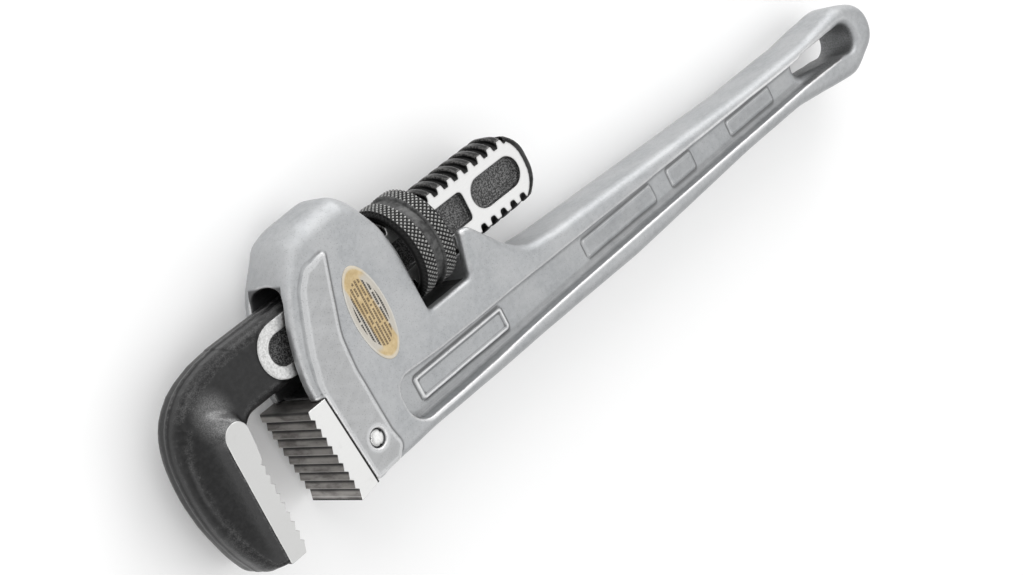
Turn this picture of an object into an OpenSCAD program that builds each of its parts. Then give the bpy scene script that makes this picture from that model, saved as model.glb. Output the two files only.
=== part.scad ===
// Straight pipe wrench: cast aluminium I-beam handle, forged floating hook jaw.
// Millimetres. The wrench lies on its side: X runs from the jaws to the handle end,
// -Y is the open mouth, +Y the shank side, Z the thickness.

/* [Overall] */
// Heel tooth line to the end of the handle
handle_len = 347; // [330:1:365]
// Width of the jaws across the teeth
jaw_w = 30; // [28:0.2:36]
// Gap between the jaws at the throat, as posed
jaw_gap = 24; // [18:0.5:42]
// Length of the heel jaw
face_len = 38; // [35:0.2:40]

/* [Handle] */
// Width of the beam flanges
beam_w = 26; // [22:0.5:28]
// Height of the beam just behind the housing
beam_h = 31.8; // [29:0.2:34]
// Height of the beam at its narrowest, near the hang hole
beam_h_rear = 22.4; // [20:0.2:25]
// Thickness of the web between the two recesses
web_t = 14; // [9:0.5:17]
// Length of the hang hole
hang_len = 38; // [30:1:44]
// Radius of the wide end of the hang hole
hang_r = 7; // [5.5:0.1:7.4]

/* [Housing] */
// Height of the bridge above the throat
house_top = 59; // [57:0.2:62]
// Height of the raised pad on each cheek
pad_h = 0.8; // [0.4:0.1:1.2]
// Floor of the shank channel above the throat
floor_y = 3.5; // [3.2:0.1:4]

/* [Hook jaw] */
// Major diameter of the shank thread
shank_d = 30; // [28:0.2:31]
// Thickness of the shank across its ground flats
shank_t = 17.8; // [15:0.2:18.4]
// Length of the shank behind the heel tooth line, as posed
shank_reach = 142; // [134:1:150]
// Depth of the hook behind its tooth line
hook_depth = 24.4; // [23:0.2:30]
// Angle by which the hook teeth fall away towards the tips
hook_relief = 2; // [1:0.5:4]

/* [Thread] */
// Advance for each turn of the nut
pitch = 5.7; // [5:0.1:6.4]
// Depth of the thread in the shank
thread_h = 1.9; // [1.5:0.1:2.2]

/* [Nut] */
// Outside diameter of the knurled bands
nut_d = 38.8; // [37.6:0.2:40.4]
// Length of the nut
nut_len = 18.6; // [16.5:0.1:19]

/* [Teeth] */
// Spacing of the teeth
tooth_pitch = 3.72; // [3.2:0.02:4.4]
// Depth of each tooth
tooth_h = 1.4; // [1:0.1:1.8]

/* [Clearances] */
// Gap each side of the shank in the channel
shank_gap = 0.6; // [0.4:0.1:0.9]
// Gap round the thread of the nut
thread_gap = 0.3; // [0.25:0.05:0.4]
// Room in the window ahead of the nut
nut_front_gap = 2.5; // [1.5:0.1:3]
// Room in the window behind the nut
nut_rear_gap = 1.9; // [1:0.1:2.5]
// Gap round the heel jaw tenon
tenon_gap = 0.15; // [0.1:0.05:0.3]
// Gap round the heel jaw pin
pin_gap = 0.05; // [0.03:0.01:0.1]

/* [Hidden] */
$fn = 48;

half_w = jaw_w / 2;                    // half the housing and jaw width
cheek_z = half_w - pad_h;              // cheek face under the raised pad
open = jaw_gap - 24;                   // how far the jaw is opened from the usual pose
shank_y = 24.5;                        // axis of the shank and nut
shank_r = shank_d / 2;
root_r = shank_r - thread_h;
land_z = shank_t / 2;                  // ground flats of the shank
body_z = land_z - 0.4;                 // black forged sides
nut_r = nut_d / 2;
nut_x = 78;                            // middle of the nut
neck_hi = shank_y + 13;                // top of the plain neck
neck_lo = shank_y - 12.4;              // underside of the plain neck
lean = 4.3;                            // heel teeth and seat run back towards the foot
heel_top = 3;
heel_foot = heel_top - face_len;
seat_x = 9.8;                          // seat of the heel jaw at the throat
foot_x = seat_x + face_len * tan(lean);
tenon_w = 12.6;
tenon_x = 29;
pin_r = 3.2;
pin_pos = [20.4, -20.8];
hook_tip = heel_foot - 1;
hook_x = -jaw_gap;
back_x = hook_x - hook_depth;
channel_z = land_z + shank_gap;
channel_r = shank_r + 3.2;
window_x0 = nut_x - nut_len / 2 - nut_front_gap;
window_x1 = nut_x + nut_len / 2 + nut_rear_gap;
top0 = -2.4;                           // top edge of the beam behind the horn
bot0 = top0 - beam_h;
top1 = -9.4;                           // top edge of the beam near its end
bot1 = top1 - beam_h_rear;
tilt = atan(pitch / (2 * PI * (shank_r - thread_h / 2)));
spring_x = 33;                         // coil spring axis
spring_r = 3.2;
wire_r = 0.55;
leaf_t = 0.9;
leaf_w = 11;

// centre of the whole wrench, so the origin is under the middle of its box
mid_x = (handle_len + back_x) / 2;
mid_y = (house_top + hook_tip) / 2;

// ---- drawing helpers ----

function unit(v) = v / norm(v);

// points of the arc that rounds corner b by radius r
function fillet(a, b, c, r, n = 7) =
    let (u = unit(a - b), v = unit(c - b), half = acos(u * v) / 2)
    r <= 0 || half > 89.5 ? [b] :
    let (
        reach = min(r / tan(half), norm(a - b) * 0.49, norm(c - b) * 0.49),
        rr = reach * tan(half),
        mid = b + unit(u + v) * (rr / sin(half)),
        p0 = b + u * reach,
        p1 = b + v * reach,
        a0 = atan2(p0[1] - mid[1], p0[0] - mid[0]),
        a1 = atan2(p1[1] - mid[1], p1[0] - mid[0]),
        turn = a1 - a0 > 180 ? a1 - a0 - 360 : a1 - a0 < -180 ? a1 - a0 + 360 : a1 - a0
    )
    [for (i = [0:n]) mid + rr * [cos(a0 + turn * i / n), sin(a0 + turn * i / n)]];

// closed outline from [x, y, radius] corners
function rounded(pts) =
    let (n = len(pts))
    [for (i = [0:n - 1])
        let (
            a = pts[(i + n - 1) % n],
            b = pts[i],
            c = pts[(i + 1) % n]
        )
        each fillet([a[0], a[1]], [b[0], b[1]], [c[0], c[1]], b[2])];

module plate(pts, half) {
    translate([0, 0, -half])
        linear_extrude(2 * half)
            polygon(rounded(pts));
}

// shape drawn in the YZ plane and run along X
module run_x(pts, x0, x1) {
    translate([x0, 0, 0])
        rotate([90, 0, 90])
            linear_extrude(x1 - x0)
                polygon(rounded(pts));
}

// shape drawn in the XZ plane and run along Y
module run_y(pts, y0, y1) {
    translate([0, y1, 0])
        rotate([90, 0, 0])
            linear_extrude(y1 - y0)
                polygon(rounded(pts));
}

// solid of revolution about the shank axis, profile [radius, x]
module turned(profile) {
    translate([0, shank_y, 0])
        rotate([0, 90, 0])
            rotate_extrude()
                polygon(profile);
}

module placed() {
    translate([-mid_x, -mid_y, nut_r])
        children();
}

// ---- handle casting ----

function handle_outline() = [
    [seat_x, heel_top, 0.4],
    [6.2, heel_top + 0.3, 1],
    [6.3, 11, 30],
    [8.4, 21, 60],
    [11.4, 30, 40],
    [17.4, 42, 60],
    [25.6, house_top - 3, 8],
    [34, house_top - 0.8, 14],
    [54, house_top, 9],
    [60.4, house_top - 6, 12],
    [64, 39, 40],
    [window_x0, 28, 30],
    [window_x0, floor_y, 1.6],
    [window_x1, floor_y, 2.4],
    [window_x1 + 5, 20.2, 1.8],
    [99.4, 19.2, 5],
    [111.4, 5.4, 20],
    [119.5, top0 + 0.8, 20],
    [136, top0 - 1.2, 60],
    [handle_len - 90, top1 - 0.1, 80],
    [handle_len - 46, top1 - 0.4, 50],
    [handle_len - 16, top1 + 2.2, 16],
    [handle_len, top1 - 4.4, 11],
    [handle_len, bot1 + 2, 13],
    [handle_len - 20, bot1 - 6.2, 16],
    [handle_len - 46, bot1 - 2, 40],
    [handle_len - 62, bot1 + 0.2, 40],
    [handle_len - 100, bot1 + 0.2, 60],
    [170, bot0 - 0.2, 90],
    [foot_x + 14, heel_foot + 1.8, 60],
    [foot_x + 1.6, heel_foot + 1.4, 1.4],
    [foot_x - 0.04, heel_foot + 2.2, 0.5]
];

// the housing is wide, the beam narrower; seen from the spine
function plan_outline() = [
    [2, -half_w, 0],
    [88, -half_w, 12],
    [116, -beam_w / 2, 20],
    [handle_len - 54, -beam_w / 2, 60],
    [handle_len + 0.2, -beam_w / 2 + 2.8, 8],
    [handle_len + 0.2, beam_w / 2 - 2.8, 8],
    [handle_len - 54, beam_w / 2, 60],
    [116, beam_w / 2, 20],
    [88, half_w, 12],
    [2, half_w, 0]
];

function pad_outline() = [
    [seat_x, heel_top - 0.4, 0.4],
    [9.6, 9, 12],
    [11.6, 18, 30],
    [16.2, 29, 30],
    [20.8, 39, 8],
    [26.8, 45, 5],
    [37.6, 45, 0.8],
    [27, 17, 20],
    [26, 4, 14],
    [27, -21.6, 10],
    [28.6, -28.4, 3],
    [24.6, heel_foot + 2.6, 1],
    [foot_x - 0.1, heel_foot + 2.4, 0.4]
];

module beam_recess(side) {
    depth = (beam_w - web_t) / 2 + 5;
    translate([0, 0, side * (web_t / 2 + depth / 2)])
        plate([
            [38, -9.4, 6.4],
            [60, -10.6, 10],
            [130, -11.8, 60],
            [handle_len - 60, top1 - 4, 30],
            [handle_len - 48, top1 - 6, 5],
            [handle_len - 48, bot1 + 7, 5],
            [handle_len - 60, bot1 + 5.2, 30],
            [130, -27, 60],
            [60, -28.4, 10],
            [38, -28.4, 8.6]
        ], depth / 2);
}

module hang_hole() {
    x1 = handle_len - 15.4;
    x0 = x1 - hang_len;
    mid = (top1 + bot1) / 2 - 0.8;
    plate([
        [x0, mid + hang_r - 0.4, 0.55 * hang_r],
        [x1, mid + hang_r, hang_r - 0.1],
        [x1, mid - hang_r, hang_r - 0.1],
        [x0 - 1, mid - 0.6, 0.55 * hang_r]
    ], half_w);
}

module shank_channel() {
    // between the cheeks
    intersection() {
        translate([-10, floor_y, -channel_z])
            cube([window_x0 + 11, house_top, 2 * channel_z]);
        union() {
            translate([-11, shank_y, 0])
                rotate([0, 90, 0])
                    cylinder(r = channel_r, h = window_x0 + 14);
            translate([-11, floor_y, -channel_z])
                cube([window_x0 + 14, shank_y - floor_y, 2 * channel_z]);
        }
    }
    // saddle behind the window
    run_x([
        [floor_y, -channel_z, 1.5],
        [house_top, -channel_z, 0],
        [house_top, channel_z, 0],
        [floor_y, channel_z, 1.5]
    ], window_x1 - 4, 150);
}

module handle() {
    color("silver") placed() difference() {
        union() {
            intersection() {
                plate(handle_outline(), half_w + 1);
                run_y(plan_outline(), -80, house_top + 5);
                // section of the housing: soft shoulders on the bridge
                run_x([
                    [-60, -cheek_z, 0],
                    [house_top - 9, -cheek_z + 0.4, 9],
                    [house_top, -cheek_z + 7, 8],
                    [house_top, cheek_z - 7, 8],
                    [house_top - 9, cheek_z - 0.4, 9],
                    [-60, cheek_z, 0]
                ], 0, handle_len + 1);
            }
            plate(pad_outline(), half_w);
        }
        shank_channel();
        for (side = [-1, 1])
            beam_recess(side);
        hang_hole();
        // slot for the heel jaw tenon
        translate([seat_x - 6, heel_foot + 5.6, -tenon_w / 2 - tenon_gap])
            cube([tenon_x - seat_x + 6 + tenon_gap, face_len - 14, tenon_w + 2 * tenon_gap]);
        // hole for the heel jaw pin
        translate([pin_pos[0], pin_pos[1], -half_w - 1])
            cylinder(r = pin_r + pin_gap, h = jaw_w + 2);
        // pocket for the coil spring
        translate([spring_x, floor_y - 8.6, 0])
            rotate([-90, 0, 0])
                cylinder(r = spring_r + wire_r + 0.4, h = 12);
    }
}

// ---- heel jaw and its pin ----

function heel_teeth() =
    let (n = floor((face_len - 4) / tooth_pitch))
    [for (i = [0:n - 1])
        let (y = -i * tooth_pitch, x = -y * tan(lean))
        each [
            [x, y, 0],
            [x + tooth_h, y - tooth_pitch * 0.27, 0]
        ]];

module heel_jaw() {
    color("gainsboro") placed() difference() {
        union() {
            plate(concat(
                [[seat_x - 0.06, heel_top, 0.3], [0.6, heel_top, 0.5]],
                heel_teeth(),
                [
                    [-heel_foot * tan(lean) - 0.2, heel_foot - 0.2, 0.4],
                    [foot_x - 0.06, heel_foot + 1.5, 0.3]
                ]
            ), half_w);
            translate([seat_x - 2, heel_foot + 5.6 + tenon_gap, -tenon_w / 2])
                cube([tenon_x - seat_x + 2, face_len - 14 - 2 * tenon_gap, tenon_w]);
        }
        translate([pin_pos[0], pin_pos[1], -half_w])
            cylinder(r = pin_r + pin_gap, h = jaw_w);
    }
}

module heel_pin() {
    color("lightgray") placed() translate([pin_pos[0], pin_pos[1], 0]) difference() {
        translate([0, 0, -half_w + 0.5])
            cylinder(r = pin_r, h = jaw_w - 1);
        // three short grooves at each end
        for (end = [-1, 1])
            for (a = [30, 150, 270])
                rotate([0, 0, a])
                    translate([pin_r + 0.2, 0, end * (half_w - 0.5)])
                        cylinder(r = 0.8, h = 6, center = true, $fn = 16);
    }
}

// ---- hook jaw ----

function face_x(y) = hook_x + y * tan(hook_relief);

function hook_teeth() =
    let (n = floor((face_len - 3.6) / tooth_pitch))
    [for (i = [0:n - 1])
        let (y = -1 - i * tooth_pitch)
        each [
            [face_x(y) - tooth_h, y, 0],
            [face_x(y), y - tooth_pitch * 0.3, 0]
        ]];

// side view of the hook and neck, without the threaded shank
function hook_outline() = concat(
    [
        [hook_x + 26, neck_lo, 1],
        [hook_x + 9.6, neck_lo, 6],
        [hook_x + 3.4, neck_lo - 5, 5],
        [hook_x, 0.4, 1]
    ],
    hook_teeth(),
    [
        [face_x(hook_tip) - 0.4, heel_foot + 2.4, 0.6],
        [face_x(hook_tip) - 1.6, hook_tip + 0.2, 1],
        [hook_x - 14, hook_tip + 0.2, 4],
        [back_x + 5.8, -26, 30],
        [back_x + 1, -12, 40],
        [back_x, 0, 40],
        [back_x + 1.4, 14, 40],
        [back_x + 6.4, 26, 20],
        [back_x + 15, neck_hi - 4.6, 26],
        [back_x + 28, neck_hi - 0.4, 50],
        [hook_x + 26, neck_hi, 1]
    ]);

// widening from the neck out to the ground faces
module jaw_flare() {
    rise = half_w - body_z;
    top = [hook_x - 3, 11.6];
    for (side = [0, 1])
        mirror([0, 0, side]) {
            translate([top[0], top[1], body_z - 1])
                cylinder(r1 = 5.8 + (rise + 1) * 1.15, r2 = 5.8, h = rise + 1);
            run_y([
                [hook_x - 9 - (rise + 1) * 1.15, body_z - 1, 0],
                [hook_x - 9.2, half_w, 0],
                [hook_x + 4, half_w, 0],
                [hook_x + 4, body_z - 1, 0]
            ], hook_tip, top[1]);
        }
}

module flare_limits() {
    plate(concat(
        [[hook_x + 1.6, 17.6, 4], [hook_x + 1.2, 11, 4], [hook_x, 0.4, 1]],
        hook_teeth(),
        [
            [face_x(hook_tip) - 0.4, heel_foot + 2.4, 0.6],
            [face_x(hook_tip) - 1.6, hook_tip + 0.2, 1],
            [hook_x - 14, hook_tip + 0.2, 4],
            [back_x + 5.8, -26, 30],
            [back_x + 2, -12, 40],
            [back_x + 2, 14, 40],
            [back_x + 10, 26, 20]
        ]), half_w);
}

module pocket(x0, x1, half, r0, r1) {
    for (side = [-1, 1])
        translate([0, 0, side * land_z])
            plate([
                [x0, shank_y - half, r0],
                [x1, shank_y - half, r1],
                [x1, shank_y + half, r1],
                [x0, shank_y + half, r0]
            ], 2.6);
}

// one thread groove across the narrow edge at height sign s
module groove(x, s) {
    translate([x, shank_y, 0])
        rotate([0, s * tilt, 0])
            rotate([0, 90, 0])
                rotate([0, 0, s * 90 - 52])
                    rotate_extrude(angle = 104)
                        polygon([
                            [root_r, -pitch * 0.19],
                            [shank_r + 1, -pitch * 0.31],
                            [shank_r + 1, pitch * 0.31],
                            [root_r, pitch * 0.19]
                        ]);
}

module shank_bar(thread_x0, rear) {
    intersection() {
        union() {
            translate([thread_x0, shank_y, 0])
                rotate([0, 90, 0])
                    cylinder(r = shank_r, h = rear - thread_x0);
            translate([hook_x + 20, neck_lo, -20])
                cube([thread_x0 - hook_x - 19, neck_hi - neck_lo, 40]);
        }
        plate([
            [hook_x, 0, 0],
            [hook_x, shank_y - 15.4, 0],
            [rear - 9, shank_y - 15.4, 12],
            [rear, shank_y - 7, 11],
            [rear, shank_y + 7, 11],
            [rear - 9, shank_y + 15.4, 12],
            [hook_x, shank_y + 15.4, 0]
        ], land_z);
        // sides: black forging at the neck, ground flats on the land
        union() {
            plate([[hook_x, 0, 0], [rear + 1, 0, 0], [rear + 1, 46, 0], [hook_x, 46, 0]], body_z);
            plate([
                [-2.8 - open, shank_y - 10.8, 10.7],
                [thread_x0, shank_y - 10.8, 2],
                [thread_x0 + 4, shank_y - 14, 2],
                [rear - 2.4, shank_y - 14, 12.6],
                [rear - 2.4, shank_y + 14, 12.6],
                [thread_x0 + 4, shank_y + 14, 2],
                [thread_x0, shank_y + 10.8, 2],
                [-2.8 - open, shank_y + 10.8, 10.7]
            ], land_z);
        }
    }
}

module hook_jaw() {
    rear = shank_reach - open;
    thread_x0 = 44 - open;
    color("dimgray") placed() difference() {
        union() {
            plate(hook_outline(), body_z);
            intersection() {
                jaw_flare();
                flare_limits();
            }
            shank_bar(thread_x0, rear);
        }
        for (x = [nut_x - open : -pitch : thread_x0 + 3])
            groove(x, 1);
        for (x = [nut_x - open + pitch : pitch : rear - 7])
            groove(x, 1);
        for (x = [nut_x - open + pitch / 2 : -pitch : thread_x0 + 3])
            groove(x, -1);
        for (x = [nut_x - open + pitch * 1.5 : pitch : rear - 7])
            groove(x, -1);
        pocket(2 - open, 106.2 - open, 5.8, 5.7, 1.8);
        pocket(110 - open, rear - 6, 6, 5.95, 5.95);
    }
}

// ---- nut ----

// helical ridge: trapezoid section swept by real turns
module ridge(turns, steps) {
    n = floor(turns * steps);
    crest = root_r + thread_gap;
    base = shank_r + thread_gap + 0.4;
    a0 = pitch * 0.19 - thread_gap * 0.55;
    a1 = pitch * 0.19 + (base - root_r) * (pitch * 0.12) / (thread_h + 1) - thread_gap * 0.55;
    spin = 360 * open / pitch;
    section = [[crest, -a0], [base, -a1], [base, a1], [crest, a0]];
    pts = [for (i = [0:n])
        let (f = 360 * (i / steps - turns / 2), x = nut_x + pitch * f / 360)
        for (s = section)
            [x + s[1], shank_y + s[0] * cos(f + spin), s[0] * sin(f + spin)]];
    faces = concat(
        [for (i = [0:n - 1]) for (k = [0:3])
            [4 * i + k, 4 * i + (k + 1) % 4, 4 * i + 4 + (k + 1) % 4, 4 * i + 4 + k]],
        [[3, 2, 1, 0], [4 * n, 4 * n + 1, 4 * n + 2, 4 * n + 3]]
    );
    polyhedron(points = pts, faces = faces, convexity = 6);
}

module nut() {
    bore = shank_r + thread_gap;
    h = nut_len / 2;
    wall = nut_r - bore;
    edge = min(1.8, wall * 0.45);      // the edge cuts and the groove stay inside the wall
    dip = min(1.3, wall * 0.35);
    mouth = min(1, wall * 0.25);
    color("slategray") placed() union() {
        turned([
            [bore, nut_x - h + 0.8],
            [bore + mouth, nut_x - h],
            [nut_r - edge, nut_x - h],
            [nut_r, nut_x - h + 1.6],
            [nut_r, nut_x - 2.5],
            [nut_r - dip, nut_x - 1.6],
            [nut_r - dip, nut_x + 1.6],
            [nut_r, nut_x + 2.5],
            [nut_r, nut_x + h - 1.6],
            [nut_r - edge, nut_x + h],
            [bore + mouth, nut_x + h],
            [bore, nut_x + h - 0.8]
        ]);
        ridge(2.2, 36);
    }
}

// ---- springs ----

// bowed leaf under the shank; its rear end slides on the channel floor
module flat_spring() {
    x0 = spring_x - 9;
    x1 = window_x0 - 4;
    rise = neck_lo - floor_y - leaf_t - 4.6;
    n = 20;
    function bow(t) = floor_y + 0.25 + rise * pow(sin(180 * (0.22 + 0.78 * t)), 1);
    color("steelblue") placed() translate([0, 0, -leaf_w / 2]) difference() {
        linear_extrude(leaf_w)
            polygon(concat(
                [for (i = [0:n]) [x0 + (x1 - x0) * i / n, bow(i / n)]],
                [for (i = [n:-1:0]) [x0 + (x1 - x0) * i / n, bow(i / n) + leaf_t]]
            ));
        translate([spring_x, floor_y - 2, leaf_w / 2])
            rotate([-90, 0, 0])
                cylinder(r = 1.3, h = 14);
    }
}

module coil_spring() {
    turns = 5.5;
    steps = 20;
    sides = 8;
    n = floor(turns * steps);
    y0 = floor_y - 8.6 + wire_r + 0.1;
    y1 = floor_y + 2.9 - wire_r;
    pts = [for (i = [0:n])
        let (a = 360 * i / steps, y = y0 + (y1 - y0) * i / n)
        for (k = [0:sides - 1])
            let (b = 360 * k / sides, r = spring_r + wire_r * cos(b))
            [spring_x + r * cos(a), y + wire_r * sin(b), -r * sin(a)]];
    faces = concat(
        [for (i = [0:n - 1]) for (k = [0:sides - 1])
            [sides * i + k, sides * i + (k + 1) % sides,
             sides * (i + 1) + (k + 1) % sides, sides * (i + 1) + k]],
        [[for (k = [sides - 1:-1:0]) k], [for (k = [0:sides - 1]) sides * n + k]]
    );
    color("lightsteelblue") placed()
        polyhedron(points = pts, faces = faces, convexity = 8);
}

module spring_rivet() {
    color("darkgray") placed() translate([spring_x, 0, 0]) rotate([-90, 0, 0]) {
        translate([0, 0, floor_y + 0.4])
            cylinder(r = 1.2, h = 4.4);
        translate([0, 0, floor_y + 2.3])
            cylinder(r = 2.1, h = 0.6);
        translate([0, 0, floor_y + 4.22])
            cylinder(r = 2.2, h = 0.68);
    }
}

// ---- labels ----

module label(side) {
    placed()
        translate([43, 16.8, side * (cheek_z + 0.1)])
            scale([0.46, 1, 1])
                cylinder(r = 19.2, h = 0.16, center = true, $fn = 72);
}

module label_front() {
    color("gold") label(1);
}

module label_back() {
    color("gold") label(-1);
}

handle();
heel_jaw();
heel_pin();
hook_jaw();
nut();
flat_spring();
coil_spring();
spring_rivet();
label_front();
label_back();
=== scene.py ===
import math

import bpy
import numpy as np
from mathutils import Matrix, Vector
from mathutils.geometry import tessellate_polygon


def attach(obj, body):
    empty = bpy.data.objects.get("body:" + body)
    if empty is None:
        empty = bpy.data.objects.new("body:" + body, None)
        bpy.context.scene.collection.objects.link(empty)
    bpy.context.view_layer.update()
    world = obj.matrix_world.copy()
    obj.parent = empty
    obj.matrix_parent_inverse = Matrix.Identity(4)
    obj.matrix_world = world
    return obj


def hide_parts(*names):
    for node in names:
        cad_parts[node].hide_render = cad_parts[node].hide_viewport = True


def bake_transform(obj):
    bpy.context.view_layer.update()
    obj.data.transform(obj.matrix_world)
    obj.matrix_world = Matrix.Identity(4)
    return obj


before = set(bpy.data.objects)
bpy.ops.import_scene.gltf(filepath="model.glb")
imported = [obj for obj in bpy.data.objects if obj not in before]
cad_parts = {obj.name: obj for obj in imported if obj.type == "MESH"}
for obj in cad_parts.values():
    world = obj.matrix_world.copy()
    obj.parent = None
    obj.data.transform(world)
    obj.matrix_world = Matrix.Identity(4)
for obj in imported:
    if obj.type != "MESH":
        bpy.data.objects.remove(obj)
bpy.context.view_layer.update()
print("frame loaded")

wrench = {
    "handleLength": 347.0,
    "jawGap": 24.0,
    "hookDepth": 24.4,
    "houseTop": 59.0,
    "faceLength": 38.0,
    "halfWidth": 15.0,
    "nutX": 78.0,
    "nutRadius": 19.4,
    "shankY": 24.5,
    "shankRadius": 15.0,
    "pitch": 5.7,
    "seatX": 9.8,
    "lean": 4.3,
    "pin": (20.4, -20.8),
}
heelTop = 3.0
heelFoot = heelTop - wrench["faceLength"]
hookTip = heelFoot - 1
hookX = -wrench["jawGap"]
backX = hookX - wrench["hookDepth"]
footX = wrench["seatX"] + wrench["faceLength"] * math.tan(math.radians(wrench["lean"]))
shift = (
    -(wrench["handleLength"] + backX) / 2,
    -(wrench["houseTop"] + hookTip) / 2,
    wrench["nutRadius"],
)


def rounded(corners, step=0.22):
    # polyline through corners (x, y, radius), each corner turned into an arc
    points = []
    count = len(corners)
    for i in range(count):
        a = np.array(corners[i - 1][:2], float)
        b = np.array(corners[i][:2], float)
        c = np.array(corners[(i + 1) % count][:2], float)
        radius = corners[i][2]
        u = (a - b) / max(np.linalg.norm(a - b), 1e-9)
        v = (c - b) / max(np.linalg.norm(c - b), 1e-9)
        half = math.acos(max(-1, min(1, float(u @ v)))) / 2
        room = min(np.linalg.norm(a - b), np.linalg.norm(c - b)) * 0.499
        if radius < 1e-6 or math.pi / 2 - half < 1e-3:
            points.append(b)
            continue
        reach = min(radius / math.tan(half), room)
        radius = reach * math.tan(half)
        middle = b + (u + v) / np.linalg.norm(u + v) * (radius / math.sin(half))
        start, end = b + u * reach - middle, b + v * reach - middle
        a0 = math.atan2(start[1], start[0])
        turn = math.atan2(end[1], end[0]) - a0
        turn = (turn + math.pi) % (2 * math.pi) - math.pi
        parts = max(2, int(math.ceil(abs(turn) / step)))
        for k in range(parts + 1):
            t = a0 + turn * k / parts
            points.append(middle + radius * np.array([math.cos(t), math.sin(t)]))
    return np.array(points)


def flatDistance(corners, x, y):
    # signed distance to an outline in the XY plane, negative inside
    line = rounded(corners)
    px, py = np.broadcast_arrays(x, y)
    shape = px.shape
    px = px.ravel().astype(np.float32)
    py = py.ravel().astype(np.float32)
    best = np.full(px.shape, 1e12, np.float32)
    inside = np.zeros(px.shape, bool)
    for a, b in zip(line, np.roll(line, -1, axis=0)):
        e = b - a
        size = float(e @ e)
        if size < 1e-12:
            continue
        wx, wy = px - a[0], py - a[1]
        t = np.clip((wx * e[0] + wy * e[1]) / size, 0, 1)
        best = np.minimum(best, (wx - e[0] * t) ** 2 + (wy - e[1] * t) ** 2)
        if abs(e[1]) > 1e-12:
            between = (a[1] > py) != (b[1] > py)
            inside ^= between & (px < a[0] + e[0] * (py - a[1]) / e[1])
    d = np.sqrt(best)
    return np.where(inside, -d, d).reshape(shape)


def common(a, b, r):
    # what is inside both, with the edge between them rounded by r
    return np.minimum(np.maximum(a, b), -r) + np.hypot(np.maximum(a + r, 0), np.maximum(b + r, 0))


def join(a, b, r):
    return -common(-a, -b, r)


def carve(a, b, r):
    return common(a, -b, r)


def ramp(v, lo, hi):
    t = np.clip((v - lo) / (hi - lo), 0, 1)
    return t * t * (3 - 2 * t)


def ripple(x, y, z, size, depth):
    # slow unevenness of a cast or forged skin
    k = 2 * math.pi / size
    a = np.sin(x * k + 1.3 * np.sin(y * k * 0.71 + 0.4)) * np.sin(y * k * 1.13 + 0.9 * np.sin(z * k + 1.1))
    b = np.sin(x * k * 0.43 + y * k * 0.61 + z * k * 0.37 + 2.0)
    return depth * (0.6 * a + 0.4 * b)


class Block:
    # regular grid of sample points around a solid
    def __init__(self, low, high, step):
        self.low, self.step = np.array(low, float), step
        count = [int(math.ceil((b - a) / step)) + 1 for a, b in zip(low, high)]
        axes = [np.float32(a + step * np.arange(n)) for a, n in zip(low, count)]
        self.x = axes[0][:, None, None]
        self.y = axes[1][None, :, None]
        self.z = axes[2][None, None, :]
        self.shape = count


def pick(field, p):
    # value between the samples, and the slope there
    n = np.array(field.shape)
    base = np.clip(np.floor(p).astype(int), 0, n - 2)
    f = p - base
    i, j, k = base.T
    c = [[[field[i + a, j + b, k + c] for c in (0, 1)] for b in (0, 1)] for a in (0, 1)]
    fx, fy, fz = f.T

    def along(a, b, t):
        return a + (b - a) * t

    x00, x10 = along(c[0][0][0], c[1][0][0], fx), along(c[0][1][0], c[1][1][0], fx)
    x01, x11 = along(c[0][0][1], c[1][0][1], fx), along(c[0][1][1], c[1][1][1], fx)
    value = along(along(x00, x10, fy), along(x01, x11, fy), fz)
    gz = along(x01, x11, fy) - along(x00, x10, fy)
    gy = along(x10 - x00, x11 - x01, fz)
    dx = [[c[1][b][k2] - c[0][b][k2] for k2 in (0, 1)] for b in (0, 1)]
    gx = along(along(dx[0][0], dx[1][0], fy), along(dx[0][1], dx[1][1], fy), fz)
    return value, np.stack([gx, gy, gz], 1)


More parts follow.
